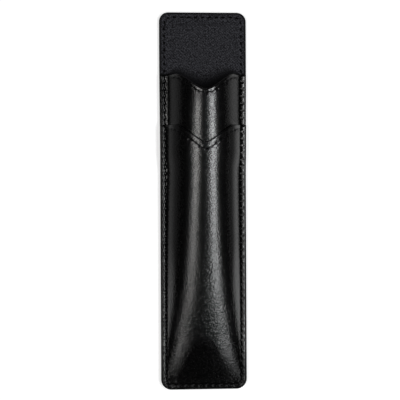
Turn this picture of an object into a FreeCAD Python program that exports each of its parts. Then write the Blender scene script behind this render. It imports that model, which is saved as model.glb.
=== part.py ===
import FreeCAD, Part
import math
import os

# Single pen sleeve: a flat lined back with a tab above the mouth, a moulded leather front
# in two lapped panels that makes the pen pocket, and the lockstitched seams that hold it.
# It lies on its back. X runs across, Y along the pen towards the tab, Z out of the front,
# and the origin is in the middle of the back face. Sizes are millimetres and degrees.

Vector = FreeCAD.Vector

# Outline of the layers, seen from the front
sleeve_length = 165.0
sleeve_width = 37.6
tab_corner_radius = 4.0
foot_corner_radius = 4.5

# Thickness of each layer
back_leather = 1.2
board = 0.6
back_cloth = 0.4
front_leather = 1.1
front_cloth = 0.35
glue_line = 0.05

# Stiffener board between the back leather and its lining
board_tab_inset = 5.6
board_side_gap = 1.8
board_toe_gap = 8.5
board_corner_radius = 2.0
board_fit = 0.1
board_edge_ease = 0.45

# Mouth edge of the upper panel, a V between two flat shoulders at the sides of the pocket
tab_length = 26.4
mouth_shoulder = 2.8
mouth_depth = 6.9
mouth_round = 4.0

# Lapped edge of the lower panel, measured down from the mouth shoulders
upper_panel_show = 22.6
lap_shoulder = 2.2
lap_depth = 7.4
lap_round = 2.5
edge_shoulder_round = 3.0

# Skived end of the upper panel under the lap
skive_below_seam = 2.0
skive_length = 10.0
skive_end_share = 0.15

# Pen pocket: a round form, tilted so that its crown falls from the mouth to the knee,
# and cut by a ramp that runs from the knee down to the foot seam
pocket_side_inset = 4.1
mouth_crown = 12.2
knee_crown = 10.0
toe_slope = 14.0
ridge_round = 6.0
pocket_end_inset = 3.0
lining_lift = 0.5
lining_above_knee = 2.0

# Seams and thread
side_seam_inset = 2.0
foot_seam_inset = 1.7
edge_seam_inset = 2.1
edge_seam_end = 0.8
seam_corner_radius = 3.2
perimeter_pitch = 3.05
edge_pitch = 2.75
thread_width = 0.65
thread_height = 0.5
thread_ease = 0.15
thread_dive = 0.5
needle_gap = 0.4
stitch_slant = 6.0
groove_width = 1.1
groove_corner_ease = 1.8
front_groove_depth = 0.3
tab_groove_depth = 0.15
back_groove_depth = 0.6
groove_seat = 0.05
inside_seat = 0.12

# Working allowances of the model
cut_clearance = 3.0
path_samples = 600
slope_step = 0.2
same_place = 0.001

# Places that follow from the sizes
half_length = sleeve_length / 2
half_width = sleeve_width / 2
form_base = back_leather + back_cloth
mouth_y = half_length - tab_length
lap_y = mouth_y - upper_panel_show
pocket_end_y = pocket_end_inset - half_length
front_top_y = mouth_y + cut_clearance
front_foot_y = -half_length - cut_clearance
tall = form_base + mouth_crown + 2 * front_leather + cut_clearance

# Axis of the pocket form and the ramp of its toe
pocket_half_width = half_width - pocket_side_inset
pocket_radius = (pocket_half_width ** 2 + mouth_crown ** 2) / (2 * mouth_crown)
knee_half_width = math.sqrt(knee_crown * (2 * pocket_radius - knee_crown))
toe_turn = math.radians(toe_slope)
knee_y = pocket_end_y + knee_crown / math.tan(toe_turn)
body_turn = math.atan((mouth_crown - knee_crown) / (mouth_y - knee_y))
axis_way = Vector(0, math.cos(body_turn), math.sin(body_turn))
axis_up = Vector(0, -math.sin(body_turn), math.cos(body_turn))
axis_knee_z = form_base + knee_crown - pocket_radius / math.cos(body_turn)
ramp_up = Vector(0, -math.sin(toe_turn), math.cos(toe_turn))


def axis_point(y):
    return Vector(0, y, axis_knee_z + (y - knee_y) * math.tan(body_turn))


def line(start, end):
    return Part.LineSegment(start, end).toShape()


def arc(start, middle, end):
    return Part.Arc(start, middle, end).toShape()


def rounded_path(corners, closed):
    """Edges through corners given as (x, y, radius), each turned by a tangent arc."""
    joints = []
    count = len(corners)
    for index, (x, y, radius) in enumerate(corners):
        here = Vector(x, y, 0)
        if not closed and index in (0, count - 1):
            joints.append((here, None, here))
            continue
        before = Vector(*corners[index - 1][:2], 0) - here
        after = Vector(*corners[(index + 1) % count][:2], 0) - here
        before.normalize()
        after.normalize()
        half_turn = before.getAngle(after) / 2
        run = radius / math.tan(half_turn)
        inward = before + after
        inward.normalize()
        crest = here + inward * (radius / math.sin(half_turn) - radius)
        joints.append((here + before * run, crest, here + after * run))
    edges = []
    for index, (start, crest, end) in enumerate(joints):
        if crest is not None:
            edges.append(arc(start, crest, end))
        if closed or index < count - 1:
            edges.append(line(end, joints[(index + 1) % count][0]))
    return edges


def ends(edges):
    """First and last point of a chain of edges."""
    return edges[0].firstVertex(True).Point, edges[-1].lastVertex(True).Point


def closed_between(first, second):
    """Closed outline made of two open paths and the lines that join their ends."""
    first_start, first_end = ends(first)
    second_start, second_end = ends(second)
    back = [edge.reversed() for edge in reversed(second)]
    return first + [line(first_end, second_end)] + back + [line(second_start, first_start)]


def prism(edges, low, high):
    """Upright solid over a closed flat outline."""
    face = Part.Face(Part.Wire(edges))
    face.translate(Vector(0, 0, low))
    return face.extrude(Vector(0, 0, high - low))


def rounded_box(x, foot, top, foot_radius, tab_radius):
    """Closed outline from foot to top, x to each side of the middle."""
    corners = [(x, foot, foot_radius), (x, top, tab_radius)]
    corners += [(-x, top, tab_radius), (-x, foot, foot_radius)]
    return rounded_path(corners, True)


def outline():
    """Closed outline of the sleeve."""
    return rounded_box(half_width, -half_length, half_length, foot_corner_radius, tab_corner_radius)


def board_outline(grow):
    """Closed outline of the stiffener board, grown all round."""
    x, radius = knee_half_width - board_side_gap + grow, board_corner_radius + grow
    foot, top = pocket_end_y + board_toe_gap - grow, half_length - board_tab_inset + grow
    return rounded_box(x, foot, top, radius, radius)


def seam_outline(grow, radius):
    """Closed line along the perimeter seam, grown all round."""
    x, top = half_width - side_seam_inset + grow, half_length - side_seam_inset + grow
    return rounded_box(x, foot_seam_inset - half_length - grow, top, radius, radius)


class EdgeLine:
    """A V-shaped panel edge and the lines that run beside it at a set distance."""

    def __init__(self, shoulder_y, shoulder, depth, tip_round):
        self.shoulder_y, self.depth, self.tip_round = shoulder_y, depth, tip_round
        self.half = pocket_half_width - shoulder
        self.slope = math.atan2(depth, self.half)

    def tip_y(self, offset):
        return self.shoulder_y - self.depth - offset / math.cos(self.slope)

    def path(self, offset, reach):
        """Open path across the panel, offset below the edge, out to reach on both sides."""
        y = self.shoulder_y - offset
        shoulder = self.half + offset * math.tan(self.slope / 2)
        shoulder_round = max(edge_shoulder_round - offset, groove_width / 4)
        corners = [(-reach, y, 0), (-shoulder, y, shoulder_round)]
        corners += [(0, self.tip_y(offset), self.tip_round + offset)]
        corners += [(shoulder, y, shoulder_round), (reach, y, 0)]
        return rounded_path(corners, False)


mouth_edge = EdgeLine(mouth_y, mouth_shoulder, mouth_depth, mouth_round)
lap_edge = EdgeLine(lap_y, lap_shoulder, lap_depth, lap_round)
skive_start_y = lap_edge.tip_y(edge_seam_inset) - skive_below_seam
skive_zero_y = skive_start_y - skive_length
skive_end_y = skive_zero_y + skive_end_share * skive_length


class Skin:
    """A surface over the pocket form, offset outwards by a chain of (y, offset) points."""

    def __init__(self, chain):
        self.chain = chain

    def moved(self, shift):
        return Skin([(y, offset + shift) for y, offset in self.chain])

    def offset_at(self, y):
        for (high, first), (low, second) in zip(self.chain, self.chain[1:]):
            if low <= y <= high:
                return second + (first - second) * (y - low) / (high - low)
        return self.chain[-1][1]

    def point(self, x, y):
        """Point of the surface over x, y: flange, round pocket or toe ramp."""
        offset = self.offset_at(y)
        flange = form_base + offset
        reach = (pocket_radius + offset) ** 2 - x ** 2
        if reach <= 0:
            return Vector(x, y, flange)
        crown = axis_point(y).z + math.sqrt(reach) / math.cos(body_turn)
        ramp = form_base + (y - pocket_end_y) * math.tan(toe_turn) + offset / math.cos(toe_turn)
        return Vector(x, y, max(flange, min(crown, ramp)))

    def pocket(self, floor):
        """Solid of the pocket under this surface, down to the height floor."""
        rim = [axis_point(y) + axis_up * (pocket_radius + offset) for y, offset in self.chain]
        first, last = axis_point(self.chain[0][0]), axis_point(self.chain[-1][0])
        face = Part.Face(Part.makePolygon([first, *rim, last, first]))
        turned = face.revolve(first, axis_way, 360)
        room = Part.makeBox(
            4 * pocket_radius, 2 * sleeve_length, 4 * pocket_radius,
            Vector(-2 * pocket_radius, -sleeve_length, floor),
        )
        solid = turned.common(room)
        if self.chain[-1][0] > knee_y:
            return solid
        return self.ramped(solid)

    def ramped(self, solid):
        """The pocket solid cut by its toe ramp, with the ridge between them rounded."""
        foot = Vector(0, pocket_end_y, form_base) + ramp_up * self.chain[-1][1]
        way = Vector(0, math.cos(toe_turn), math.sin(toe_turn))
        across = Vector(2 * pocket_radius, 0, 0)
        low, high = foot - way * sleeve_length, foot + way * sleeve_length
        corners = [low - across, low + across, high + across, high - across, low - across]
        over = Part.Face(Part.makePolygon(corners)).extrude(ramp_up * sleeve_length)
        solid = solid.cut(over)
        ridge = [edge for edge in solid.Edges if self.on_ridge(edge, foot)]
        return solid.makeFillet(ridge_round + self.chain[-1][1], ridge)

    def on_ridge(self, edge, foot):
        """Whether an edge is a curve on the toe ramp."""
        middle = edge.valueAt((edge.FirstParameter + edge.LastParameter) / 2)
        points = [vertex.Point for vertex in edge.Vertexes] + [middle]
        on_ramp = all(abs((point - foot).dot(ramp_up)) < same_place for point in points)
        return on_ramp and not isinstance(edge.Curve, Part.Line)

    def under(self):
        """Everything under this surface: the pocket and the flange plate beside it."""
        side = [Vector(-half_width - cut_clearance, y, form_base + offset) for y, offset in self.chain]
        low = [Vector(point.x, point.y, 0) for point in (side[-1], side[0])]
        plate = Part.Face(Part.makePolygon(side + low + side[:1]))
        plate = plate.extrude(Vector(2 * (half_width + cut_clearance), 0, 0))
        return plate.fuse(self.pocket(0))


upper_form = Skin([(front_top_y, 0), (skive_zero_y, 0)])
upper_face = Skin(
    [(front_top_y, front_leather), (skive_start_y, front_leather), (skive_zero_y, 0)]
)
lower_bed = Skin(
    [
        (front_top_y, front_leather + glue_line),
        (skive_start_y, front_leather + glue_line),
        (skive_zero_y, 0),
        (front_foot_y, 0),
    ]
)
lower_face = lower_bed.moved(front_leather)
lining_seat = Skin([(front_top_y, -glue_line), (knee_y + lining_above_knee, -glue_line)])
inside_face = lining_seat.moved(-front_cloth)
outside_seat = groove_seat - front_groove_depth


def above(edge):
    """Solid over everything beyond a panel edge, towards the tab."""
    reach = half_width + cut_clearance
    far = [line(Vector(-reach, half_length, 0), Vector(reach, half_length, 0))]
    return prism(closed_between(edge.path(0, reach), far), 0, tall)


def edge_band(edge):
    """Upright band over the seam beside a panel edge."""
    reach = pocket_half_width - edge_seam_end + needle_gap
    near = edge.path(edge_seam_inset - groove_width / 2, reach)
    far = edge.path(edge_seam_inset + groove_width / 2, reach)
    return prism(closed_between(near, far), 0, tall)


def perimeter_band(low, high):
    """Upright ring over the perimeter seam."""
    half = groove_width / 2
    outer = prism(seam_outline(half, seam_corner_radius + half), low, high)
    inner_radius = seam_corner_radius - half + groove_corner_ease
    return outer.cut(prism(seam_outline(-half, inner_radius), low, high))


def front_panel(bed, face, edge):
    """Leather between two surfaces, trimmed to the outline and its edge, with stitch grooves."""
    panel = face.under().cut(bed.under())
    panel = panel.common(prism(outline(), 0, tall)).cut(above(edge))
    floor = face.moved(-front_groove_depth).under()
    for band in (perimeter_band(0, tall), edge_band(edge)):
        panel = panel.cut(band.cut(floor))
    return panel


def make_front_upper_panel():
    kept = Part.makeBox(
        sleeve_width, sleeve_length, tall, Vector(-half_width, skive_end_y, 0)
    )
    return front_panel(upper_form, upper_face, mouth_edge).common(kept)


def make_front_lower_panel():
    return front_panel(lower_bed, lower_face, lap_edge)


def make_front_lining():
    floor = form_base + lining_lift
    cloth = lining_seat.pocket(floor).cut(inside_face.pocket(floor))
    return cloth.cut(above(mouth_edge))


def make_back_panel():
    return prism(outline(), 0, back_leather).cut(perimeter_band(0, back_groove_depth))


def make_back_stiffener():
    return prism(board_outline(0), back_leather, back_leather + board)


def make_back_lining():
    top = form_base + board
    pad = prism(board_outline(back_cloth), back_leather, top)
    rim = [edge for edge in pad.Edges if edge.BoundBox.ZMin > top - same_place]
    pad = pad.makeChamfer(board_edge_ease, rim)
    cloth = prism(outline(), back_leather, form_base).fuse(pad)
    cloth = cloth.cut(prism(board_outline(board_fit), back_leather, back_leather + board))
    tab = Part.makeBox(
        sleeve_width, tab_length, back_cloth, Vector(-half_width, mouth_y, back_leather)
    )
    return cloth.cut(perimeter_band(form_base - tab_groove_depth, form_base).common(tab))


def stitch(length):
    """One stitch of thread along X with its seat at Y zero, eased sides and diving ends."""
    reach, side = length / 2, thread_width / 2
    top_reach, top_side = reach - thread_dive, side - thread_ease
    return Part.makeWedge(
        -reach, 0, -side, -top_side, -top_reach,
        reach, thread_height, side, top_side, top_reach,
    )


def needle_holes(path, point, pitch):
    """Needle holes along a path laid on a surface, a whole number of stitches near the pitch."""
    flat = Part.Wire(path).discretize(Number=path_samples)
    points = [point(place.x, place.y) for place in flat]
    along = [0.0]
    for start, end in zip(points, points[1:]):
        along.append(along[-1] + (end - start).Length)
    count = max(round(along[-1] / pitch), 1)
    holes, index = [], 0
    for number in range(count + 1):
        target = along[-1] * number / count
        while index < len(along) - 2 and along[index + 1] < target:
            index += 1
        share = (target - along[index]) / (along[index + 1] - along[index])
        holes.append(points[index] + (points[index + 1] - points[index]) * share)
    return [(hole.x, hole.y) for hole in holes]


def stitch_row(holes, point, seat, facing):
    """Stitches between needle holes on a surface, seated off it on the side it faces."""
    row = []
    for start, end in zip(holes, holes[1:]):
        x, y = (start[0] + end[0]) / 2, (start[1] + end[1]) / 2
        across = point(x + slope_step, y) - point(x - slope_step, y)
        along = point(x, y + slope_step) - point(x, y - slope_step)
        normal = across.cross(along) * facing
        normal.normalize()
        forward = point(*end) - point(*start)
        turn = FreeCAD.Rotation(forward, normal, forward.cross(normal), "YXZ")
        turn = turn.multiply(FreeCAD.Rotation(Vector(0, 1, 0), stitch_slant))
        thread = stitch(forward.Length - needle_gap)
        thread.Placement = FreeCAD.Placement(point(x, y) + normal * seat, turn)
        row.append(thread)
    return row


def level(height):
    """A flat surface, as points over x, y."""

    def point(x, y):
        return Vector(x, y, height)

    return point


def perimeter_runs():
    """The perimeter seam in runs that each lie on one layer, as holes, surface and seat."""
    x, top = half_width - side_seam_inset, half_length - side_seam_inset
    foot = foot_seam_inset - half_length
    turn = seam_corner_radius
    tab = [(x, mouth_y, 0), (x, top, turn), (-x, top, turn), (-x, mouth_y, 0)]
    left = [(-x, mouth_y, 0), (-x, lap_y, 0)]
    lower = [(-x, lap_y, 0), (-x, foot, turn), (x, foot, turn), (x, lap_y, 0)]
    right = [(x, lap_y, 0), (x, mouth_y, 0)]
    on_tab = (level(form_base), groove_seat - tab_groove_depth)
    on_upper = (upper_face.point, outside_seat)
    on_lower = (lower_face.point, outside_seat)
    runs = [(tab, *on_tab), (left, *on_upper), (lower, *on_lower), (right, *on_upper)]
    return [
        (needle_holes(rounded_path(corners, False), point, perimeter_pitch), point, seat)
        for corners, point, seat in runs
    ]


def make_perimeter_front_stitches():
    rows = [stitch_row(holes, point, seat, 1) for holes, point, seat in perimeter_runs()]
    return Part.Compound(sum(rows, []))


def make_perimeter_back_stitches():
    seat = groove_seat - back_groove_depth
    rows = [stitch_row(holes, level(0), seat, -1) for holes, _, _ in perimeter_runs()]
    return Part.Compound(sum(rows, []))


def make_edge_stitches(edge, face):
    """The two sides of the seam beside a panel edge, outside and inside the pocket."""
    path = edge.path(edge_seam_inset, pocket_half_width - edge_seam_end)
    holes = needle_holes(path, face.point, edge_pitch)
    over = stitch_row(holes, face.point, outside_seat, 1)
    inner = [hole for hole in holes if inside_face.point(*hole).z > form_base + board + thread_width]
    under = stitch_row(inner, inside_face.point, inside_seat, -1)
    return Part.Compound(over), Part.Compound(under)


mouth_over, mouth_under = make_edge_stitches(mouth_edge, upper_face)
lap_over, lap_under = make_edge_stitches(lap_edge, lower_face)
pieces = {
    "back_panel": make_back_panel(),
    "back_stiffener": make_back_stiffener(),
    "back_lining": make_back_lining(),
    "front_lining": make_front_lining(),
    "front_upper_panel": make_front_upper_panel(),
    "front_lower_panel": make_front_lower_panel(),
    "perimeter_front_stitches": make_perimeter_front_stitches(),
    "perimeter_back_stitches": make_perimeter_back_stitches(),
    "mouth_front_stitches": mouth_over,
    "mouth_inside_stitches": mouth_under,
    "lap_front_stitches": lap_over,
    "lap_inside_stitches": lap_under,
}

os.makedirs("parts", exist_ok=True)
for name, shape in pieces.items():
    shape.exportStep(f"parts/{name}.step")
    box = shape.BoundBox
    size = " x ".join(f"{side:.2f}" for side in (box.XLength, box.YLength, box.ZLength))
    print(f"{name}: {len(shape.Solids)} solids, {size} mm, {shape.Volume:.1f} mm3, {shape.isValid()}")
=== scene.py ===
import math

import bmesh
import bpy
import numpy as np
from bpy.props import FloatProperty, FloatVectorProperty, PointerProperty
from mathutils import Matrix, Vector


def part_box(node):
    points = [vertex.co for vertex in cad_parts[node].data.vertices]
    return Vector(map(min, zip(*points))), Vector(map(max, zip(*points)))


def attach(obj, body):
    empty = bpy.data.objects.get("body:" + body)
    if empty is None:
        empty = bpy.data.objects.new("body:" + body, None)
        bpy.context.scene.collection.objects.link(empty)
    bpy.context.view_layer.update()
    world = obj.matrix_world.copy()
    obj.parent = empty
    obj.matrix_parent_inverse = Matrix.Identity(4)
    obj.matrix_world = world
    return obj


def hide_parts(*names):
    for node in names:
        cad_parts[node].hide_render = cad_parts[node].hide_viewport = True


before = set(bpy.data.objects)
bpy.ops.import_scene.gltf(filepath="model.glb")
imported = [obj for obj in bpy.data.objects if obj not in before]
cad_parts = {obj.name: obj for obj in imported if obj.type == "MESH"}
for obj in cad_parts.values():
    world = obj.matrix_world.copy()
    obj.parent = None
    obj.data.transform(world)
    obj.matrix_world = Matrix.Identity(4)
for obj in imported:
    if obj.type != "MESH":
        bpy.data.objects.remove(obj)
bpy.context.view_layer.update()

bl_info = {
    "name": "Pen sleeve",
    "version": (1, 0, 0),
    "blender": (4, 5, 0),
    "location": "View3D > Sidebar > Sleeve",
    "description": "Dresses the frame of a single pen sleeve in leather, cloth and thread",
    "category": "Object",
}

# Places that come from the frame
BACK_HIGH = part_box("back_panel")[1]
PAD_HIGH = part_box("back_lining")[1]
BOARD_LOW, BOARD_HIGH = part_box("back_stiffener")
UPPER_LOW, UPPER_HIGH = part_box("front_upper_panel")
LOWER_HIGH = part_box("front_lower_panel")[1]
POCKET_CLOTH_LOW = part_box("front_lining")[0]

# How far the crown of the pocket stays flat, as a share of its half width, along the sleeve
CROWN_PLACES = (-0.0825, -0.0655, -0.0525, -0.0400, 0.0047, 0.0561)
CROWN_SHARES = (0.66, 0.70, 0.755, 0.70, 0.58, 0.482)

# How high up the pocket's sides keep the lean of their foot, as a share of its height
SIDE_SHARE = 0.45

# Least height of the crown past the toe, and how softly the toe runs out into it
LEAST_CROWN, TOE_SOFT = 0.00005, 0.0004

# The dark plane of the toe and the ridges beside it: places along the sleeve, half widths there
TOE_PLANE = (-0.0765, -0.0655, -0.056), (0.0125, 0.0070, 0.0025)
TOE_RIDGE = (-0.075, -0.061), (0.0134, 0.0108)

# Distances from a cut edge at which its rounding gets a row of points
ROLL_STEPS = (0.0, 0.00005, 0.00012, 0.00022, 0.00036, 0.00054, 0.00075)

# Glue line between two layers, and the fall of the flange to its cut edge
GLUE, FLANGE_FALL = 0.00005, 0.20

# Grain of the leathers and yarns of the lining to a metre, and how the grain is drawn out
FRONT_PEBBLES, BACK_PEBBLES, LINING_YARNS = 2150.0, 2400.0, 1400.0
GRAIN_STRETCH = (0.65, 1.15, 0.65)

# How flat a stitch lies, as a share of its width, and how far its ends dive
THREAD_FLAT, THREAD_DIVE = 0.85, 0.00045

# Soft lights: how far off they are, their width and the two ends of their length
LIGHT_AWAY, LIGHT_WIDTH, LIGHT_TOP, LIGHT_LOW = 0.70, 0.21, 0.24, -0.40

# Camera: the point it looks at, how far off it is, its lean sideways and its turn
AIM, EYE_AWAY = (-0.0015, 0.00035, 0.0024), 0.4859
EYE_LEAN, EYE_TURN = math.radians(-4.0), math.radians(-0.25)


def length(name, description, default):
    return FloatProperty(
        name=name, description=description, default=default, unit="LENGTH", precision=5
    )


def angle(name, description, degrees):
    return FloatProperty(
        name=name, description=description, default=math.radians(degrees), subtype="ANGLE"
    )


def share(name, description, default):
    return FloatProperty(
        name=name, description=description, default=default, min=0, max=1, subtype="FACTOR"
    )


def colour(name, description, default):
    return FloatVectorProperty(
        name=name, description=description, default=default, size=3, min=0, max=1, subtype="COLOR"
    )


class SleeveShape(bpy.types.PropertyGroup):
    """Sizes of the sleeve and its layers"""

    half_width: length("Half width", "From the middle line to the cut edge", BACK_HIGH.x)
    half_length: length("Half length", "From the middle to the end of the tab", BACK_HIGH.y)
    tab_flare: length("Tab flare", "How far the tab widens on each side", 0.00026)
    tab_corner: length("Tab corner", "Corner radius of the tab", 0.0040)
    foot_corner: length("Foot corner", "Corner radius of the foot", 0.0045)
    back_top: length("Back top", "Height of the back leather", BACK_HIGH.z)
    base: length("Pocket base", "Height of what the front is sewn to", UPPER_LOW.z)
    pad: length("Pad", "How far the board lifts the lining", PAD_HIGH.z - UPPER_LOW.z)
    leather: length("Front leather", "Thickness of the front leather", 0.0011)
    cloth: length("Pocket cloth", "Thickness of the lining in the pocket", 0.00035)
    pocket_half: length("Pocket half width", "From the pocket's middle to its foot", 0.01515)
    pocket_spread: length("Pocket spread", "How much wider the pocket is at its toe", 0.00075)
    pocket_shift: length("Pocket shift", "How far right of the middle the mouth sits", 0.00045)
    vee_x: length("V middle", "How far right of the middle the V edges sit", 0.0004)
    mouth_crown: length("Mouth crown", "Height of the pocket at the mouth", 0.0122)
    knee_crown: length("Knee crown", "Height of the pocket above the toe", 0.0106)
    knee_soft: length("Knee softness", "How softly the crown turns into the toe", 0.0046)
    toe_y: length("Toe end", "Where the toe meets the foot seam", -0.0795)
    toe_angle: angle("Toe angle", "Fall of the toe", 14)
    foot_angle: angle("Side angle", "Lean of the pocket's sides at their foot", 58)
    crease: length("Crease", "Softness of the crease round the pocket", 0.0005)
    mouth_y: length("Mouth", "Place of the mouth's shoulders", UPPER_HIGH.y - 0.0008)
    mouth_half: length("Mouth V width", "Half width of the V of the mouth", 0.0123)
    mouth_depth: length("Mouth V depth", "Depth of the V of the mouth", 0.01085)
    mouth_tip: length("Mouth V tip", "Roundness of the tip of the mouth's V", 0.0042)
    mouth_seam: length("Mouth seam inset", "From the mouth's edge to its seam", 0.0019)
    mouth_turn: length("Mouth seam tip", "Roundness of the mouth's seam at its tip", 0.0049)
    lap_y: length("Lap", "Place of the lap's shoulders", LOWER_HIGH.y - 0.0004)
    lap_half: length("Lap V width", "Half width of the V of the lap", 0.0125)
    lap_depth: length("Lap V depth", "Depth of the V of the lap", 0.0090)
    lap_tip: length("Lap V tip", "Roundness of the tip of the lap's V", 0.0020)
    lap_seam: length("Lap seam inset", "From the lap's edge to its seam", 0.0022)
    lap_turn: length("Lap seam tip", "Roundness of the lap's seam at its tip", 0.0011)
    upper_end: length("Upper panel end", "Where the upper panel ends under the lap", UPPER_LOW.y)
    skive_start: length("Skive start", "Where the upper panel starts to thin", 0.0217)
    skive_end: length("Skive end", "Where the upper panel has thinned to nothing", 0.0117)
    edge_roll: length("Edge roll", "Radius of the rounded cut edges", 0.00065)
    flange_strip: length("Flange strip", "Width of the strip that falls to the edge", 0.00165)
    mouth_roll: length("Mouth roll", "Radius of the rounded lip of the mouth", 0.00085)
    lap_roll: length("Lap roll", "Radius of the rounded edge of the lap", 0.0005)


class SleeveSeams(bpy.types.PropertyGroup):
    """Sizes of the seams and the thread"""

    side_inset: length("Side inset", "From the cut edge to the perimeter seam", 0.00215)
    edge_reach: length("Edge seam reach", "From the middle line to the end of a V seam", 0.0142)
    pitch: length("Perimeter pitch", "Length of a perimeter stitch", 0.00305)
    edge_pitch: length("Edge pitch", "Length of a stitch of the V seams", 0.00275)
    thread: length("Thread", "Width of the thread", 0.00068)
    groove: length("Groove", "How deep a seam presses into the leather", 0.00022)
    groove_half: length("Groove half width", "Half width of the pressed groove", 0.00042)
    pit: length("Needle pit", "How deep a needle hole pulls the leather in", 0.00046)
    pit_half: length("Needle pit half width", "Half width of the pull at a hole", 0.00055)
    pucker: length("Pucker", "How far the leather round a hole is drawn in", 0.00020)
    pucker_half: length("Pucker half width", "Half width of the pucker", 0.0009)
    slant: angle("Slant", "Slant of a stitch", 9)


class SleeveFinish(bpy.types.PropertyGroup):
    """Colours and gloss of the sleeve"""

    leather: colour("Leather", "Colour of the leather", (0.0011, 0.0011, 0.0012))
    leather_worn: colour("Leather light", "Lighter tone in the grain", (0.0022, 0.0021, 0.0021))
    edge: colour("Edge paint", "Colour of the painted cut edges", (0.0022, 0.0022, 0.0023))
    lining: colour("Lining", "Colour of the lining's yarn", (0.0405, 0.0405, 0.0478))
    # The deep colour of the lining is also the colour of its painted shade
    lining_deep_and_shade: colour("Lining deep", "Colour between the yarns", (0.0015, 0.0015, 0.0025))
    thread: colour("Thread", "Colour of the thread", (0.0010, 0.0010, 0.0011))
    board: colour("Board", "Colour of the fibre board", (0.25, 0.19, 0.14))
    gloss: share("Leather roughness", "Roughness of the leather under its finish", 0.24)
    coat: share("Finish roughness", "Roughness of the burnished finish", 0.20)
    floor: colour("Floor", "Colour of the floor", (0.62, 0.62, 0.62))
    floor_glow: share("Floor glow", "How bright the floor is where it is seen", 0.57)


def settings_of(context):
    """Shape, seams and finish of the sleeve"""
    scene = context.scene
    return scene.sleeve_shape, scene.sleeve_seams, scene.sleeve_finish


def smooth_min(first, second, soft):
    """Lesser of two values, rounded where they cross"""
    near = np.maximum(soft - np.abs(first - second), 0) / soft
    return np.minimum(first, second) - near * near * soft / 4


def smooth_max(first, second, soft):
    return -smooth_min(-first, -second, soft)


def smooth_step(low, high, value):
    """Share from 0 to 1 that a value has gone from low to high, eased at both ends"""
    part = np.clip((value - low) / (high - low), 0, 1)
    return part * part * (3 - 2 * part)


def points_at(x, y, z):
    return np.stack([x, y, z], axis=-1)


def bell(value, width):
    """Bell curve of a value, 1 at 0"""
    return np.exp(-((value / width) ** 2))


def right_part(x):
    """Share from 0 on the left half to 1 on the right half"""
    return smooth_step(-0.006, 0.006, x)


class VEdge:
    """A V-shaped panel edge between two flat shoulders, and the seam beside it"""

    def __init__(self, x, y, half, depth, tip, seam, turn, roll):
        self.x, self.y, self.depth, self.tip = x, y, depth, tip
        self.slope, self.seam, self.turn, self.roll = depth / half, seam, turn, roll

    def line(self, x, inset, tip=None):
        """Place along the sleeve of the edge, or of a line inset from it"""
        lean = math.hypot(1, self.slope)
        tip = tip or self.tip + inset * (lean - 1) / self.slope
        vee = self.y - self.depth - inset * lean + self.slope * np.hypot(x - self.x, tip)
        return smooth_min(vee, self.y - inset, 0.0012)

    def seam_line(self, x):
        return self.line(x, self.seam, self.turn)


def v_edge(shape, name):
    """The V edge of the mouth or the lap"""
    sizes = ("y", "half", "depth", "tip", "seam", "turn", "roll")
    return VEdge(shape.vee_x, *(getattr(shape, f"{name}_{size}") for size in sizes))


def crown_height(shape, y):
    """Height of the pocket's crown above its base"""
    slope = math.tan(shape.toe_angle)
    knee_y = shape.toe_y + shape.knee_crown / slope
    rise = (shape.mouth_crown - shape.knee_crown) / (shape.mouth_y - knee_y)
    body = shape.knee_crown + rise * (y - knee_y)
    ramp = (y - shape.toe_y) * slope
    crown = smooth_min(body, ramp, shape.knee_soft)
    return smooth_max(crown, np.full_like(y, LEAST_CROWN), TOE_SOFT)


def pocket_middle(shape, y):
    """How far right of the middle line the pocket sits"""
    return shape.pocket_shift * smooth_step(-0.02, 0.04, y)


def pocket_width(shape, y):
    """Half width of the pocket at its foot"""
    return shape.pocket_half + shape.pocket_spread * smooth_step(0.025, -0.045, y)


def front_height(shape, x, y, offset):
    """Height of the moulded front over x, y, offset outwards from the inside of the leather"""
    half, tall = pocket_width(shape, y), crown_height(shape, y)
    handle = half * np.interp(y, CROWN_PLACES, CROWN_SHARES)
    side_x = half - SIDE_SHARE * tall * math.cos(shape.foot_angle)
    side_z = SIDE_SHARE * tall * math.sin(shape.foot_angle)
    across = np.abs(x - pocket_middle(shape, y))

    def section(part):
        """Point of the half section from crown to foot, offset outwards"""
        rest = 1 - part
        at_x = 3 * rest * part * (rest * handle + part * side_x) + part**3 * half
        at_z = rest * rest * (rest + 3 * part) * tall + 3 * rest * part * part * side_z
        way_x = rest * rest * handle + 2 * rest * part * (side_x - handle)
        way_x = way_x + part * part * (half - side_x)
        way_z = 2 * rest * part * (side_z - tall) - part * part * side_z
        run = np.hypot(way_x, way_z)
        return at_x - offset * way_z / run, at_z + offset * way_x / run

    low, high = np.zeros_like(x), np.ones_like(x)
    for _ in range(28):
        middle = (low + high) / 2
        short = section(middle)[0] < across
        low, high = np.where(short, middle, low), np.where(short, high, middle)
    end_x, arch = section(low)
    arch = arch - np.maximum(across - end_x, 0) * math.tan(shape.foot_angle)
    return shape.base + smooth_max(arch, offset + np.zeros_like(x), shape.crease)


def lap_lift(shape, y):
    """How far the lower panel is lifted by the upper panel under its lap"""
    return (shape.leather + GLUE) * smooth_step(shape.skive_end, shape.skive_start, y)


def no_offset(shape, y):
    """Inside of the upper panel"""
    return np.zeros_like(y)


def upper_offset(shape, y):
    """Outside of the upper panel, which thins to a feather edge under the lap"""
    full = shape.leather * smooth_step(shape.skive_end, shape.skive_start, y)
    return np.maximum(full, 0.00015)


def lower_offset(shape, y):
    """Outside of the lower panel"""
    return lap_lift(shape, y) + shape.leather


def cloth_offset(shape, y):
    """Inside of the cloth in the pocket"""
    return np.full_like(y, -GLUE - shape.cloth)


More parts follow.
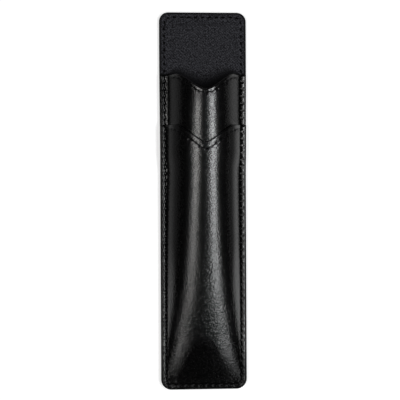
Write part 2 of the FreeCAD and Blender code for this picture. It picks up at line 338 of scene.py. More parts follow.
def round_corners(shape, x, y):
    """Moves points of a square-cornered plan so that its corners follow the cut outline"""
    radius = np.where(y < 0, shape.foot_corner, shape.tab_corner)
    out_x = np.maximum(np.abs(x) - (shape.half_width - radius), 0)
    out_y = np.maximum(np.abs(y) - (shape.half_length - radius), 0)
    reach = np.hypot(out_x, out_y)
    pull = np.where(reach > 0, np.maximum(out_x, out_y) / np.where(reach > 0, reach, 1), 1)
    flare = 1 + shape.tab_flare / shape.half_width * smooth_step(0.012, 0.062, y)
    return (
        np.sign(x) * (np.abs(x) + out_x * (pull - 1)) * flare,
        np.sign(y) * (np.abs(y) + out_y * (pull - 1)),
    )


def outline_gap(shape, x, y):
    """Distance from a point of the square-cornered plan to the cut outline"""
    return np.minimum(shape.half_width - np.abs(x), shape.half_length - np.abs(y))


def edge_places(shape, reach, step):
    """Places from a cut edge inwards, close together where it is rounded"""
    return shape.half_width - np.concatenate([ROLL_STEPS, np.arange(0.00095, reach, step)])


def mirrored(right):
    """Places across both halves, given those on the right"""
    return np.concatenate([-right, right[-2::-1]])


def panel_columns(shape):
    """Places across a front panel, close together on the flange and round the pocket's foot"""
    flange = edge_places(shape, reach=0.0039, step=0.0002)
    arch = 0.0148 * np.sin(np.linspace(math.pi / 2, 0, 50))
    return mirrored(np.concatenate([flange[flange > arch[0] + 0.0001], arch]))


def plain_columns(shape, step):
    """Places across a flat layer, close together at the cut edges and the seam"""
    edge = edge_places(shape, reach=0.0046, step=0.00024)
    middle = np.linspace(edge[-1], 0, max(int(edge[-1] / step), 2))[1:]
    return mirrored(np.concatenate([edge, middle]))


def row_shares(run, step, low_roll):
    """Places along a panel as shares of its length, with the rows of its rounded edges"""
    rolls = np.array(ROLL_STEPS)
    low = rolls if low_roll else np.array([0.0])
    middle = np.arange(0.001, run - 0.001, step)
    return np.concatenate([low, middle, (run - rolls)[::-1]]) / run


def roll(gap, radius):
    """How far a rounded edge falls at a distance from the cut"""
    near = np.clip(1 - gap / radius, 0, 1)
    return radius * (1 - np.sqrt(1 - near * near))


def hole_gap(points, holes):
    """Distance from each point to the nearest needle hole"""
    nearest = np.full(points.shape[:-1], 1.0)
    for hole in holes:
        nearest = np.minimum(nearest, ((points - hole) ** 2).sum(axis=-1))
    return np.sqrt(nearest)


def seam_press(seams, seam_gap, needle_gap, firm):
    """How deep a seam presses in: its groove and the pull at each needle hole"""
    groove = firm * seams.groove * bell(seam_gap, seams.groove_half)
    pit = (0.77 - 0.22 * firm) * seams.pit * bell(needle_gap, seams.pit_half)
    return groove + pit + firm * seams.pucker * bell(needle_gap, seams.pucker_half)


def needle_holes(points, pitch):
    """Needle holes at an even distance near the pitch along a path of points"""
    steps = np.linalg.norm(np.diff(points, axis=0), axis=1)
    along = np.concatenate([[0], np.cumsum(steps)])
    places = np.linspace(0, along[-1], max(round(along[-1] / pitch), 1) + 1)
    return np.stack([np.interp(places, along, points[:, axis]) for axis in range(3)], axis=1)


def perimeter_runs(shape, seams):
    """Needle holes of the perimeter seam, one run on each layer that it crosses"""
    x, end = shape.half_width - seams.side_inset, shape.half_length - seams.side_inset
    mouth, lap = shape.mouth_y, shape.lap_y
    turns = {
        "tab": [(x, mouth), (x, end), (-x, end), (-x, mouth)],
        "left": [(-x, mouth), (-x, lap)],
        "lower": [(-x, lap), (-x, -end), (x, -end), (x, lap)],
        "right": [(x, lap), (x, mouth)],
    }
    runs = {}
    for name, corners in turns.items():
        legs = zip(corners, corners[1:])
        pieces = [np.linspace(start, end, 400, endpoint=False) for start, end in legs]
        plan = np.concatenate([*pieces, [corners[-1]]])
        path_x, path_y = round_corners(shape, plan[:, 0], plan[:, 1])
        if name == "tab":
            height = np.full_like(path_x, shape.base)
        else:
            offset = lower_offset if name == "lower" else upper_offset
            height = front_height(shape, path_x, path_y, offset(shape, path_y))
        runs[name] = needle_holes(points_at(path_x, path_y, height), seams.pitch)
    return runs


def edge_holes(shape, seams, edge, offset):
    """Needle holes of the seam beside a V edge"""
    x = edge.x + np.linspace(-seams.edge_reach, seams.edge_reach, 800)
    y = edge.seam_line(x)
    height = front_height(shape, x, y, offset(shape, y))
    return needle_holes(points_at(x, y, height), seams.edge_pitch)


class Side:
    """One face of a layer: a grid of points, how far they are pressed in, and their finish, which
    on the cloth also holds painted shade
    """

    def __init__(self, points, upward, edge_gap, press=0, dull_and_shade=0, shine=1, rim=0):
        none = np.zeros_like(edge_gap)
        self.points, self.upward, self.press = points, upward, press + none
        self.dull_and_shade, self.shine, self.rim = dull_and_shade + none, shine + none, rim + none
        self.paint = 1 - smooth_step(0.0007, 0.0012, edge_gap)


def flank_shine(points, level):
    """Gloss of the pocket's steep sides, more on the right and towards the toe"""
    across, along = points[..., 0].ravel(), points[..., 1].ravel()
    right, toe = right_part(across), smooth_step(-0.015, -0.05, along)
    upper = smooth_step(0.0325, 0.0345, along)
    steep = 0.50 + 0.19 * toe + 0.08 * upper + 0.05 * right
    shine = 1 - smooth_step(steep, steep + 0.14 + 0.04 * (toe + upper), level)
    shine = shine * (1 - 0.35 * upper * (1 - smooth_step(0.40, 0.60, level)))
    left_gain = 0.70 + 0.45 * toe - 0.42 * upper
    right_gain = 1.78 - 0.25 * toe - 0.98 * upper
    return shine * (left_gain + (right_gain - left_gain) * right) * (0.32 + 0.31 * toe)


def grid_order(vert):
    return round(vert.co.y, 6), round(vert.co.x, 6)


def shell(name, *sides):
    """Closed piece between two sides, each a grid pressed in along its normals"""
    mesh = bmesh.new()
    paint_layer = mesh.verts.layers.float.new("edge_paint")
    polish_and_shade_layer = mesh.verts.layers.float.new("polish")
    for side in sides:
        rows, columns = side.paint.shape
        made = bmesh.ops.create_grid(mesh, x_segments=columns - 1, y_segments=rows - 1, size=1)
        verts = sorted(made["verts"], key=grid_order)
        for vert, point in zip(verts, side.points.reshape(-1, 3)):
            vert.co = point
        if not side.upward:
            faces = list({face for vert in verts for face in vert.link_faces})
            bmesh.ops.reverse_faces(mesh, faces=faces)
        mesh.normal_update()
        moves = [vert.normal * fall for vert, fall in zip(verts, side.press.ravel())]
        for vert, move in zip(verts, moves):
            vert.co -= move
        mesh.normal_update()
        level = np.array([abs(vert.normal.z) for vert in verts])
        # On the leather this value is the gloss of the finish; on the cloth it sets the colour by
        # how each face is turned and darkens it where shade is given: painted light and shade
        polish = side.shine.ravel() * smooth_step(0.70, 0.93, level)
        polish = polish + (1 + side.rim.ravel()) * flank_shine(side.points, level)
        polish = polish * (1 - side.dull_and_shade.ravel())
        for vert, edge, gloss in zip(verts, side.paint.ravel(), polish):
            vert[paint_layer], vert[polish_and_shade_layer] = edge, gloss * (1 - 0.85 * edge)
    bmesh.ops.bridge_loops(mesh, edges=[edge for edge in mesh.edges if edge.is_boundary])
    bmesh.ops.recalc_face_normals(mesh, faces=mesh.faces)
    return finished(name, mesh, sharp=50)


def thinned(places):
    """Every third place, with the last one kept"""
    return np.concatenate([places[:-1:3], places[-1:]])


def finished(name, mesh, sharp):
    """Object made of a bmesh, shaded smooth up to an angle"""
    data = bpy.data.meshes.new(name)
    mesh.to_mesh(data)
    mesh.free()
    data.polygons.foreach_set("use_smooth", [True] * len(data.polygons))
    data.set_sharp_from_angle(angle=math.radians(sharp))
    piece = bpy.data.objects.new(name, data)
    bpy.context.scene.collection.objects.link(piece)
    return piece


def dress(piece, material, slot, *nodes):
    """Gives a piece its material and its place in the frame"""
    piece.data.materials.append(material)
    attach(piece, "root")
    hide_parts(*nodes)
    return piece


def connect(value, socket):
    if isinstance(value, bpy.types.NodeSocket):
        socket.id_data.links.new(value, socket)
    else:
        socket.default_value = value


def feed(sockets, **inputs):
    """Gives named sockets their values or links"""
    for name, value in inputs.items():
        connect(value, sockets[name.replace("_", " ")])


def put(tree, kind, settings, **inputs):
    """Adds a node with its settings and its inputs"""
    node = tree.nodes.new(kind)
    for name, value in settings.items():
        setattr(node, name, value)
    feed(node.inputs, **inputs)
    return node


def reckon(operation, first, second):
    """Output of a maths node"""
    known = first if isinstance(first, bpy.types.NodeSocket) else second
    node = put(known.id_data, "ShaderNodeMath", {"operation": operation})
    connect(first, node.inputs[0])
    connect(second, node.inputs[1])
    return node.outputs[0]


def times(first, second):
    return reckon("MULTIPLY", first, second)


def plus(first, second):
    return reckon("ADD", first, second)


def blend(part, first, second):
    """Output of a colour mix"""
    node = put(part.id_data, "ShaderNodeMix", {"data_type": "RGBA"})
    connect(part, node.inputs[0])
    connect(first, node.inputs[6])
    connect(second, node.inputs[7])
    return node.outputs[2]


def spread(value, low, high, to_low=0.0, to_high=1.0):
    """Output of a map range, clamped"""
    ends = {"From_Min": low, "From_Max": high, "To_Min": to_low, "To_Max": to_high}
    node = put(value.id_data, "ShaderNodeMapRange", {"clamp": True}, Value=value, **ends)
    return node.outputs[0]


def noise(vector, scale, detail=2.0, roughness=0.5):
    inputs = {"Vector": vector, "Scale": scale, "Detail": detail, "Roughness": roughness}
    return put(vector.id_data, "ShaderNodeTexNoise", {}, **inputs).outputs["Fac"]


def attribute(tree, name):
    return put(tree, "ShaderNodeAttribute", {"attribute_name": name}).outputs["Fac"]


def pebble_domes(vector, pebbles):
    """Output of the domed pebbles of a grain, drawn out across the sleeve"""
    tree = vector.id_data
    drawn = put(tree, "ShaderNodeMapping", {}, Vector=vector, Scale=GRAIN_STRETCH)
    inputs = {"Vector": drawn.outputs["Vector"], "Scale": pebbles, "Smoothness": 0.5}
    pebble = put(tree, "ShaderNodeTexVoronoi", {"feature": "SMOOTH_F1"}, **inputs)
    return reckon("SUBTRACT", 1.0, pebble.outputs["Distance"])


def group_of(name, count, outputs):
    """New node group of a place and a count: its tree, its two inputs and its outputs"""
    tree = bpy.data.node_groups.new(name, "ShaderNodeTree")
    tree.interface.new_socket("Vector", in_out="INPUT", socket_type="NodeSocketVector")
    tree.interface.new_socket(count, in_out="INPUT", socket_type="NodeSocketFloat")
    for label in outputs:
        tree.interface.new_socket(label, in_out="OUTPUT", socket_type="NodeSocketFloat")
    given = tree.nodes.new("NodeGroupInput").outputs
    return tree, given["Vector"], given[count], tree.nodes.new("NodeGroupOutput").inputs


def leather_grain():
    """Fine pebbled grain with soft, wider unevenness, shared by the leathers"""
    name = "leather_grain"
    if name in bpy.data.node_groups:
        return bpy.data.node_groups[name]
    tree, place, pebbles, made = group_of(name, "Pebbles", ("Height", "Tone", "Wave"))
    wander = noise(place, times(pebbles, 0.60), 1.0)
    wide = noise(place, times(pebbles, 0.08))
    domes = pebble_domes(place, pebbles)
    height = plus(times(domes, 0.5), times(wander, 0.2))
    tone = spread(wander, 0.4, 0.6)
    feed(made, Height=height, Tone=tone, Wave=wide)
    return tree


def twill_weave():
    """Diagonal ribs of a twill cloth, broken by its cross yarns"""
    tree, place, yarns, made = group_of("twill_weave", "Yarns", ("Height", "Tone"))
    lean = put(tree, "ShaderNodeMapping", {}, Vector=place, Scale=(1.0, 0.85, 1.0))
    lean.inputs["Rotation"].default_value = (0, 0, math.radians(30))
    wander = noise(lean.outputs["Vector"], times(yarns, 1.3), roughness=0.6)
    part = put(tree, "ShaderNodeSeparateXYZ", {}, Vector=place).outputs
    turn = times(yarns, 2 * math.pi)
    sway = times(wander, 9.0)

    def ripple(way):
        return reckon("SINE", plus(times(way, turn), sway), 0.0)

    rib = ripple(reckon("SUBTRACT", part["X"], times(part["Y"], 0.6)))
    yarn = ripple(plus(part["Y"], times(part["X"], 0.4)))
    weave = plus(times(rib, 0.08), times(yarn, 0.06))
    height = plus(weave, wander)
    feed(made, Height=height, Tone=spread(height, 0.43, 0.61))
    return tree


def material_of(name):
    """New material with its tree and its surface shader"""
    material = bpy.data.materials.new(name)
    material.use_nodes = True
    tree = material.node_tree
    return material, tree, tree.nodes["Principled BSDF"].inputs


def object_place(tree):
    return tree.nodes.new("ShaderNodeTexCoord").outputs["Object"]


def grouped(tree, group, **inputs):
    return put(tree, "ShaderNodeGroup", {"node_tree": group}, **inputs).outputs


def bumped(height, distance, strength):
    inputs = {"Height": height, "Distance": distance, "Strength": strength}
    return put(height.id_data, "ShaderNodeBump", {}, **inputs).outputs["Normal"]


def leather_material(name, finish, pebbles, depth):
    """Black smooth leather, burnished on its upper faces, with painted cut edges"""
    material, tree, surface = material_of(name)
    grain = grouped(tree, leather_grain(), Vector=object_place(tree), Pebbles=pebbles)
    paint, polish = attribute(tree, "edge_paint"), attribute(tree, "polish")
    body = blend(grain["Tone"], (*finish.leather, 1), (*finish.leather_worn, 1))
    tone = spread(grain["Tone"], 0.0, 1.0, finish.gloss - 0.04, finish.gloss + 0.06)
    tone = plus(tone, spread(grain["Wave"], 0.3, 0.7, -0.03, 0.03))
    speck = spread(grain["Tone"], 0.0, 1.0, 0.66, 1.0)
    feed(
        surface,
        Base_Color=blend(paint, body, (*finish.edge, 1)),
        Roughness=plus(tone, times(paint, 0.14)),
        Specular_IOR_Level=0.06,
        Coat_Weight=times(polish, speck),
        Coat_Roughness=finish.coat,
        Coat_IOR=1.7,
        Normal=bumped(grain["Height"], depth, 1.0),
    )
    return material


def burnish(material, pebbles, depth):
    """Gives the gloss of a leather its own relief, coarser towards the foot"""
    tree = material.node_tree
    place = object_place(tree)
    coarse = noise(place, 0.6 * pebbles, 1.0)
    along = put(tree, "ShaderNodeSeparateXYZ", {}, Vector=place).outputs["Y"]
    swell = times(coarse, spread(along, 0.01, -0.04, 0.0, 1.9))
    height = plus(pebble_domes(place, pebbles), swell)
    relief = bumped(height, depth, 1.0)
    feed(tree.nodes["Principled BSDF"].inputs, Coat_Normal=relief)


def lining_material(name, finish, yarns):
    """Charcoal twill cloth, matte with a faint sheen, with painted shade from the attribute of
    gloss and shade
    """
    material, tree, surface = material_of(name)
    weave = grouped(tree, twill_weave(), Vector=object_place(tree), Yarns=yarns)
    tint = blend(weave["Tone"], (*finish.lining_deep_and_shade, 1), (*finish.lining, 1))
    feed(
        surface,
        # Painted shade: the colour falls to the deep colour where the attribute of gloss and
        # shade is low
        Base_Color=blend(attribute(tree, "polish"), (*finish.lining_deep_and_shade, 1), tint),
        Roughness=spread(weave["Tone"], 0.0, 1.0, 0.95, 0.75),
        Specular_IOR_Level=0.2,
        Sheen_Weight=0.05,
        Sheen_Roughness=0.5,
        Normal=bumped(weave["Height"], 0.00008, 0.6),
    )
    return material


def thread_material(finish):
    """Black waxed thread with its twisted plies along the stitch"""
    material, tree, surface = material_of("waxed_thread")
    around = tree.nodes.new("ShaderNodeUVMap").outputs["UV"]
    part = put(tree, "ShaderNodeSeparateXYZ", {}, Vector=around).outputs
    turn = plus(times(part["X"], 4 * math.pi), times(part["Y"], 10 * math.pi))
    ply = spread(reckon("SINE", turn, 0.0), -1.0, 1.0)
    wax = noise(object_place(tree), 1500.0)
    light = tuple(2.2 * value for value in finish.thread)
    feed(
        surface,
        Base_Color=blend(ply, (*finish.thread, 1), (*light, 1)),
        Roughness=spread(wax, 0.3, 0.7, 0.5, 0.7),
        Specular_IOR_Level=0.05,
        Normal=bumped(ply, 0.00006, 0.6),
    )
    return material


def board_material(finish):
    """Pressed leather fibre board with flecks"""
    material, tree, surface = material_of("fibre_board")
    fleck = noise(object_place(tree), 700.0, 5.0)
    dark = tuple(0.5 * value for value in finish.board)
    part = spread(fleck, 0.35, 0.65)
    feed(
        surface,
        Base_Color=blend(part, (*dark, 1), (*finish.board, 1)),
        Roughness=spread(fleck, 0.3, 0.7, 0.75, 0.95),
        Normal=bumped(fleck, 0.00005, 0.5),
    )
    return material


def floor_material(finish):
    """Plain pale floor, seen and mirrored as white, that keeps the shadow"""
    material, tree, surface = material_of("pale_floor")
    path = tree.nodes.new("ShaderNodeLightPath").outputs
    seen = reckon("MAXIMUM", path["Is Camera Ray"], path["Is Glossy Ray"])
    seen = reckon("MAXIMUM", seen, path["Is Transmission Ray"])
    feed(
        surface,
        Base_Color=(*finish.floor, 1),
        Roughness=0.9,
        Specular_IOR_Level=0.1,
        Emission_Color=(1, 1, 1, 1),
        Emission_Strength=times(seen, finish.floor_glow),
    )
    return material


class PanelFace:
    """Grid of points on one side of a front panel, and where they lie on it"""

    def __init__(self, shape, edge, low_y, offset, columns, rows):
        x, part = np.meshgrid(columns, rows)
        top = edge.line(x, 0)
        y = low_y + (top - low_y) * part
        self.gap, self.top_gap = outline_gap(shape, x, y), top - y
        x, y = round_corners(shape, x, y)
        self.points = points_at(x, y, front_height(shape, x, y, offset(shape, y)))
        self.x, self.y, self.edge = x, y, edge
        self.right = right_part(x)
        self.near_tip = smooth_step(0.0115, 0.0085, np.abs(x - edge.x))
        self.past_foot = np.abs(x - pocket_middle(shape, y)) - pocket_width(shape, y) - 0.0006

    def find_seams(self, seams, holes, v_holes):
        """Measures the distances to the seams and their needle holes"""
        self.side_gap = np.abs(self.gap - seams.side_inset)
        self.needle, self.v_needle = hole_gap(self.points, holes), hole_gap(self.points, v_holes)
        v_gap = np.abs(self.y - self.edge.seam_line(self.x)) / math.hypot(1, self.edge.slope)
        sewn = np.abs(self.x - self.edge.x) < seams.edge_reach + 0.0005
        self.v_gap = np.where(sewn, v_gap, 1.0)

    def press(self, shape, seams):
        """How far the seams, the rounded edges and the flange's slope take the leather in"""
        press = seam_press(seams, self.side_gap, self.needle, firm=1.0)
        v_press = seam_press(seams, self.v_gap, self.v_needle, firm=0.25)
        press = press + (0.15 + 0.35 * self.near_tip) * v_press
        edge_fall, top_fall = roll(self.gap, shape.edge_roll), roll(self.top_gap, self.edge.roll)
        press = press + np.maximum(edge_fall, top_fall)
        return press + FLANGE_FALL * np.maximum(shape.flange_strip - self.gap, 0)

    def dull_and_shade(self):
        """Where the gloss is lost: V seam, V edge, crease, toe, its plane and the left rim"""
        y, right = self.y, self.right
        seam = np.maximum(bell(self.v_needle, 0.0006), 0.85 * bell(self.v_gap, 0.0003))
        plane = np.interp(y, *TOE_PLANE)
        plane = smooth_step(plane + 0.0018, plane - 0.0018, np.abs(self.x))
        left_rim = smooth_step(0.0021, 0.0016, self.gap) * (1 - right)
        return np.maximum.reduce(
            [
                seam * (0.85 + 0.15 * self.near_tip),
                0.9 * bell(self.top_gap, 0.00040),
                0.9 * bell(self.past_foot, 0.0005),
                (0.5 + 0.35 * right) * smooth_step(-0.060, -0.074, y),
                0.95 * plane * smooth_step(-0.053, -0.065, y),
                0.65 * left_rim * smooth_step(0.0, 0.04, y),
            ]
        )

    def shine(self):
        """Gloss of the crown, less on the lower body, past the toe's ridges and at upper left"""
        y, right = self.y, self.right
        lower = smooth_step(0.03, -0.02, y) * smooth_step(-0.065, -0.045, y)
        ridge = np.interp(y, *TOE_RIDGE)
        beyond = smooth_step(ridge - 0.0004, ridge + 0.0014, np.abs(self.x))
        beyond = beyond * (self.past_foot < -0.0004) * smooth_step(-0.056, -0.062, y)
        below_seam = smooth_step(self.edge.seam, self.edge.seam + 0.0015, self.top_gap)
        upper_left = below_seam * (1 - right) * smooth_step(0.039, 0.046, y)
        shine = 1 - (0.38 - 0.08 * right) * lower
        return shine * (1 - 0.75 * beyond) * (1 - 0.45 * upper_left)

    def rim(self):
        """Added gloss on the flanks between the V edge and its seam"""
        seam = self.edge.seam
        rim = (1 - self.near_tip) * smooth_step(0.0002, 0.0005, self.top_gap)
        rim = rim * smooth_step(seam - 0.0004, seam - 0.0008, self.top_gap)
        return (1.7 - 0.9 * self.right) * rim


def panel_sides(shape, seams, edge, low_y, offsets, holes):
    """Outer and inner side of a front panel, with its rounded edges and its two seams"""
    columns = panel_columns(shape)
    at_foot = low_y < -shape.half_length + 0.001
    rows = row_shares(edge.y - low_y, step=0.00034, low_roll=at_foot)
    face = PanelFace(shape, edge, low_y, offsets[0], columns, rows)
    face.find_seams(seams, holes, edge_holes(shape, seams, edge, offsets[0]))
    press, paint_gap = face.press(shape, seams), np.minimum(face.gap, face.top_gap + 0.0008)
    outer = Side(face.points, True, paint_gap, press, face.dull_and_shade(), face.shine(), face.rim())
    face = PanelFace(shape, edge, low_y, offsets[1], columns[::2], thinned(rows))
    return outer, Side(face.points, False, np.minimum(face.gap, face.top_gap))


class SLEEVE_OT_front_panels(bpy.types.Operator):
    """Moulds the upper and lower leather panels of the front"""

    bl_idname = "sleeve.front_panels"
    bl_label = "Front panels"

    def execute(self, context):
        shape, seams, finish = settings_of(context)
        leather = leather_material("front_leather", finish, FRONT_PEBBLES, depth=0.00012)
        burnish(leather, FRONT_PEBBLES, depth=0.00007)
        runs = perimeter_runs(shape, seams)
        mouth, lap = v_edge(shape, "mouth"), v_edge(shape, "lap")
        holes = np.concatenate([runs["left"], runs["right"]])
        offsets = upper_offset, no_offset
        upper = panel_sides(shape, seams, mouth, shape.upper_end, offsets, holes)
        dress(shell("front_upper", *upper), leather, "leather", "front_upper_panel")
        offsets = lower_offset, lap_lift
        lower = panel_sides(shape, seams, lap, -shape.half_length, offsets, runs["lower"])
        dress(shell("front_lower", *lower), leather, "leather", "front_lower_panel")
        return {"FINISHED"}


def flat_plan(shape, columns, rows):
    """Plan of a flat layer and its distance to the cut"""
    x, part = np.meshgrid(columns, rows)
    y = (2 * part - 1) * shape.half_length
    gap = outline_gap(shape, x, y)
    x, y = round_corners(shape, x, y)
    return x, y, gap


class SLEEVE_OT_back_leather(bpy.types.Operator):
    """Cuts the flat leather of the back with its rounded edges and its sunk seam"""

    bl_idname = "sleeve.back_leather"
    bl_label = "Back leather"

    def execute(self, context):
        shape, seams, finish = settings_of(context)
        columns = plain_columns(shape, step=0.0012)
        rows = row_shares(2 * shape.half_length, step=0.00045, low_roll=True)
        x, y, gap = flat_plan(shape, columns, rows)
        holes = np.concatenate(list(perimeter_runs(shape, seams).values())) * (1, 1, 0)
        points = points_at(x, y, np.zeros_like(x))
        needle, seam_gap = hole_gap(points, holes), np.abs(gap - seams.side_inset)
        sunk = 0.0004 * np.exp(-((seam_gap / 0.0006) ** 4))
        press = sunk + 0.6 * seam_press(seams, seam_gap, needle, firm=1.0)
        press = press + roll(gap, shape.edge_roll)
        under = Side(points, False, gap, press, bell(needle, 0.00045))
        x, y, gap = flat_plan(shape, columns[::2], thinned(rows))
        over = Side(points_at(x, y, np.full_like(x, shape.back_top)), True, gap)
        piece = shell("back_leather", under, over)
        leather = leather_material("back_leather", finish, BACK_PEBBLES, depth=0.00010)
        dress(piece, leather, "leather", "back_panel")
        return {"FINISHED"}


class SLEEVE_OT_linings(bpy.types.Operator):
    """Lays the cloth over the back and its board, and inside the moulded front"""

    bl_idname = "sleeve.linings"
    bl_label = "Linings"

    def execute(self, context):
        shape, seams, finish = settings_of(context)
        cloth = lining_material("twill_lining", finish, LINING_YARNS)
        back = self.back_lining(shape, seams)
        dress(back, cloth, "lining", "back_lining")
        flat = (2 * shape.half_width, 2 * shape.half_length)
        front, flat = self.front_lining(shape)
        dress(front, cloth, "lining", "front_lining")
        return {"FINISHED"}

    def board_lift(self, shape, x, y):
        """How far the board lifts the cloth, easing down past the board's edge"""
        inside = np.minimum(BOARD_HIGH.y - y, y - BOARD_LOW.y)
        inside = np.minimum(BOARD_HIGH.x - np.abs(x), inside)
        return shape.pad * smooth_step(-0.0012, 0.0002, inside)

    def back_lining(self, shape, seams):
        """Cloth of the back, with painted shade where the mouth stands over it"""
        columns = plain_columns(shape, step=0.0007)
        rows = row_shares(2 * shape.half_length, step=0.00042, low_roll=True)
        x, y, gap = flat_plan(shape, columns, rows)
        points = points_at(x, y, shape.base + self.board_lift(shape, x, y))
        needle = hole_gap(points, perimeter_runs(shape, seams)["tab"])
        seam_gap = np.where(y > shape.mouth_y, np.abs(gap - seams.side_inset), 1.0)
        press = 0.5 * seam_press(seams, seam_gap, needle, firm=1.0)
        press = press + np.where(y > shape.mouth_y - 0.001, roll(gap, 0.00025), 0)
        # Painted shade: the cloth darkens just past the mouth's lip, reaching further where the
        # lip stands higher
        lip = v_edge(shape, "mouth").line(x, 0)
        shade = 0.65 * (front_height(shape, x, lip, upper_offset(shape, lip)) - shape.base)
        dull_and_shade = smooth_step(1.0, 0.25, (y - lip) / shade)
        over = Side(points, True, gap, np.minimum(press, 0.00034), dull_and_shade)
        x, y, gap = flat_plan(shape, columns[::2], thinned(rows))
        points = points_at(x, y, shape.back_top + self.board_lift(shape, x, y))
        return shell("back_lining_cloth", over, Side(points, False, gap))

    def front_lining(self, shape):
        """Cloth inside the moulded front, and its flat size"""
        low, edge = POCKET_CLOTH_LOW.y, v_edge(shape, "mouth")
        half_width, rows = 0.01405, 120
        columns = shape.vee_x + half_width * np.sin(np.linspace(-math.pi / 2, math.pi / 2, 61))
        x, part = np.meshgrid(columns, np.linspace(0, 1, rows))
        y = low + (edge.line(x, 0.0002) - low) * part
        over = points_at(x, y, front_height(shape, x, y, np.full_like(x, -GLUE)))
        under = points_at(x, y, front_height(shape, x, y, cloth_offset(shape, y)))
        far = np.ones_like(x)
        # Painted shade: the whole cloth inside the pocket is darkened
        sides = Side(over, True, far, dull_and_shade=0.8), Side(under, False, far, dull_and_shade=0.8)
        piece = shell("front_lining_cloth", *sides)
        girth = float(np.linalg.norm(np.diff(over[rows // 2], axis=0), axis=1).sum())
        return piece, (girth, edge.y - low)


def sew(mesh, holes, normals, slant, seat, bare, thick):
    """Adds a stitch between each two needle holes of a row, short of them by a bare length"""
    for start, end, normal in zip(holes, holes[1:], normals):
        start, end, normal = Vector(start), Vector(end), Vector(normal)
        way = end - start
        reach = way.length / 2 - bare
        way.normalize()
        side = normal.cross(way)
        made = bmesh.ops.create_uvsphere(
            mesh, u_segments=8, v_segments=7, radius=1, calc_uvs=True
        )["verts"]
        for vert in made:
            along = vert.co.z
            plump = math.sqrt(1 + along * along) * thick / 2
            vert.co = (
                vert.co.x * plump,
                vert.co.y * plump * THREAD_FLAT + seat - THREAD_DIVE * along**4,
                along * reach,
            )
        frame_turn = Matrix((side, normal, way)).transposed().to_4x4()
        place = Matrix.Translation((start + end) / 2) @ frame_turn
        place = place @ Matrix.Rotation(slant, 4, "Y")
        bmesh.ops.transform(mesh, matrix=place, verts=made)


def surface_normals(shape, holes, offset):
    """Outward normals of the moulded front midway between needle holes"""
    middle = (holes[:-1] + holes[1:]) / 2
    x, y, step = middle[:, 0], middle[:, 1], 0.0002
    out = offset(shape, y)
    rise_x = front_height(shape, x + step, y, out) - front_height(shape, x - step, y, out)
    rise_y = front_height(shape, x, y + step, out) - front_height(shape, x, y - step, out)
    rise_x, rise_y = rise_x / (2 * step), rise_y / (2 * step)
    normals = points_at(-rise_x, -rise_y, np.ones_like(x))
    return normals / np.linalg.norm(normals, axis=1, keepdims=True)


class SLEEVE_OT_stitches(bpy.types.Operator):
    """Sews the perimeter seam and the two V seams, on both of their sides"""

    bl_idname = "sleeve.stitches"
    bl_label = "Stitches"

    def execute(self, context):
        shape, seams, finish = settings_of(context)
        thread = thread_material(finish)
        runs = perimeter_runs(shape, seams)
        # Seat above the surface, bare length at each end and thickness in widths of thread
        on_cloth, on_leather = (0.00006, 0.00068, 1.12), (-0.00004, 0.00036, 0.92)
        outside, behind = [], []
        for name, holes in runs.items():
            seat, bare, thick = on_cloth if name == "tab" else on_leather
            outside.append((holes, self.facing(holes, 1), seat, bare, thick * seams.thread))
            low = holes * (1, 1, 0)
            behind.append((low, self.facing(low, -1), -0.00036, 0.0002, seams.thread))
        self.row("perimeter_front", outside, seams, thread, "perimeter_front_stitches")
        self.row("perimeter_back", behind, seams, thread, "perimeter_back_stitches")
        for name, offset in (("mouth", upper_offset), ("lap", lower_offset)):
            edge = v_edge(shape, name)
            holes = edge_holes(shape, seams, edge, offset)
            normals = surface_normals(shape, holes, offset)
            over = (holes, normals, 0.0, 0.00015, 0.7 * seams.thread)
            self.row(f"{name}_front", [over], seams, thread, f"{name}_front_stitches")
            x, y = holes[:, 0], holes[:, 1]
            height = front_height(shape, x, y, cloth_offset(shape, y))
            holes = points_at(x, y, height)[np.abs(x - edge.x) < 0.0128]
            normals = -surface_normals(shape, holes, cloth_offset)
            under = (holes, normals, 0.00012, 0.0002, seams.thread)
            self.row(f"{name}_inside", [under], seams, thread, f"{name}_inside_stitches")
        return {"FINISHED"}

    def facing(self, holes, side):
        """Normals of a flat row, up or down"""
        return np.repeat([[0.0, 0.0, float(side)]], len(holes) - 1, axis=0)

    def row(self, name, rows, seams, thread, node):
        """One piece of all the stitches of its rows"""
        mesh = bmesh.new()
        mesh.loops.layers.uv.new("UVMap")
        for holes, normals, *lie in rows:
            sew(mesh, holes, normals, seams.slant, *lie)
        dress(finished(f"{name}_thread", mesh, sharp=80), thread, "thread", node)


class SLEEVE_OT_stiffener(bpy.types.Operator):
    """Gives the board inside the back its fibre finish"""

    bl_idname = "sleeve.stiffener"
    bl_label = "Stiffener"

    def execute(self, context):
        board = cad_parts["back_stiffener"]
        board.data.materials.clear()
        board.data.materials.append(board_material(context.scene.sleeve_finish))
        return {"FINISHED"}


def soft_box(name, degrees, radiance, tint):
    """Long soft light beside the camera, turned about the sleeve's length"""
    lamp = bpy.data.lights.new(name, "AREA")
    lamp.shape, lamp.size, lamp.size_y = "RECTANGLE", LIGHT_WIDTH, LIGHT_TOP - LIGHT_LOW
    lamp.energy = radiance * math.pi * lamp.size * lamp.size_y
    lamp.color = tint
    light = bpy.data.objects.new(name, lamp)
    place = Matrix.Translation((0, (LIGHT_TOP + LIGHT_LOW) / 2, LIGHT_AWAY))
    light.matrix_world = Matrix.Rotation(math.radians(degrees), 4, "Y") @ place
    bpy.context.scene.collection.objects.link(light)


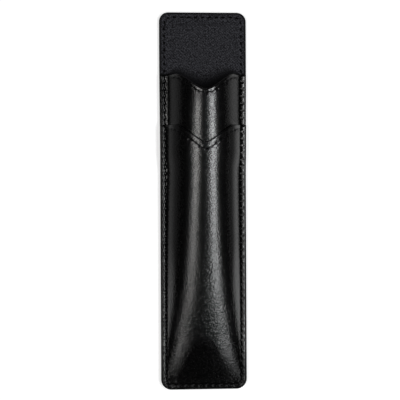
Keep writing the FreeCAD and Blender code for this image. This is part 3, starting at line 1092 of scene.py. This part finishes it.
class SLEEVE_OT_stage(bpy.types.Operator):
    """Sets the floor, the soft lights and the camera above the sleeve"""

    bl_idname = "sleeve.stage"
    bl_label = "Stage"

    def execute(self, context):
        scene = context.scene
        mesh = bmesh.new()
        bmesh.ops.create_grid(mesh, x_segments=1, y_segments=1, size=2.0)
        bmesh.ops.translate(mesh, verts=mesh.verts, vec=(0, 0, -0.0001))
        floor = finished("floor", mesh, sharp=30)
        floor.data.materials.append(floor_material(scene.sleeve_finish))
        soft_box("right_light", degrees=28.0, radiance=8.0, tint=(0.97, 0.99, 1.0))
        soft_box("left_light", degrees=-28.5, radiance=4.6, tint=(1.0, 0.99, 0.97))
        world = bpy.data.worlds.new("studio")
        world.use_nodes = True
        background = world.node_tree.nodes["Background"].inputs
        background["Color"].default_value = (0.018, 0.018, 0.019, 1)
        scene.world = world
        eye = bpy.data.cameras.new("camera")
        eye.lens, eye.sensor_width = 100, 36
        camera = bpy.data.objects.new("camera", eye)
        camera.matrix_world = (
            Matrix.Translation(AIM)
            @ Matrix.Rotation(EYE_LEAN, 4, "Y")
            @ Matrix.Translation((0, 0, EYE_AWAY))
            @ Matrix.Rotation(EYE_TURN, 4, "Z")
        )
        scene.collection.objects.link(camera)
        scene.camera = camera
        scene.view_settings.view_transform = "Standard"
        return {"FINISHED"}


class SLEEVE_PT_panel(bpy.types.Panel):
    """Lists the sleeve's sizes, finishes and steps"""

    bl_label = "Pen sleeve"
    bl_idname = "SLEEVE_PT_panel"
    bl_space_type = "VIEW_3D"
    bl_region_type = "UI"
    bl_category = "Sleeve"

    def draw(self, context):
        for title, group in zip(("Shape", "Seams", "Finish"), settings_of(context)):
            box = self.layout.box()
            box.label(text=title)
            for name in group.__annotations__:
                box.prop(group, name)
        for step in STEPS:
            self.layout.operator(step.bl_idname)


STEPS = (
    SLEEVE_OT_back_leather,
    SLEEVE_OT_stiffener,
    SLEEVE_OT_front_panels,
    SLEEVE_OT_linings,
    SLEEVE_OT_stitches,
    SLEEVE_OT_stage,
)
CLASSES = (SleeveShape, SleeveSeams, SleeveFinish, *STEPS, SLEEVE_PT_panel)


def register():
    for kind in CLASSES:
        bpy.utils.register_class(kind)
    bpy.types.Scene.sleeve_shape = PointerProperty(type=SleeveShape)
    bpy.types.Scene.sleeve_seams = PointerProperty(type=SleeveSeams)
    bpy.types.Scene.sleeve_finish = PointerProperty(type=SleeveFinish)


def unregister():
    for name in ("sleeve_shape", "sleeve_seams", "sleeve_finish"):
        delattr(bpy.types.Scene, name)
    for kind in reversed(CLASSES):
        bpy.utils.unregister_class(kind)


def main():
    register()
    bpy.ops.sleeve.back_leather()
    bpy.ops.sleeve.stiffener()
    bpy.ops.sleeve.front_panels()
    bpy.ops.sleeve.linings()
    bpy.ops.sleeve.stitches()
    bpy.ops.sleeve.stage()


if __name__ == "__main__":
    main()
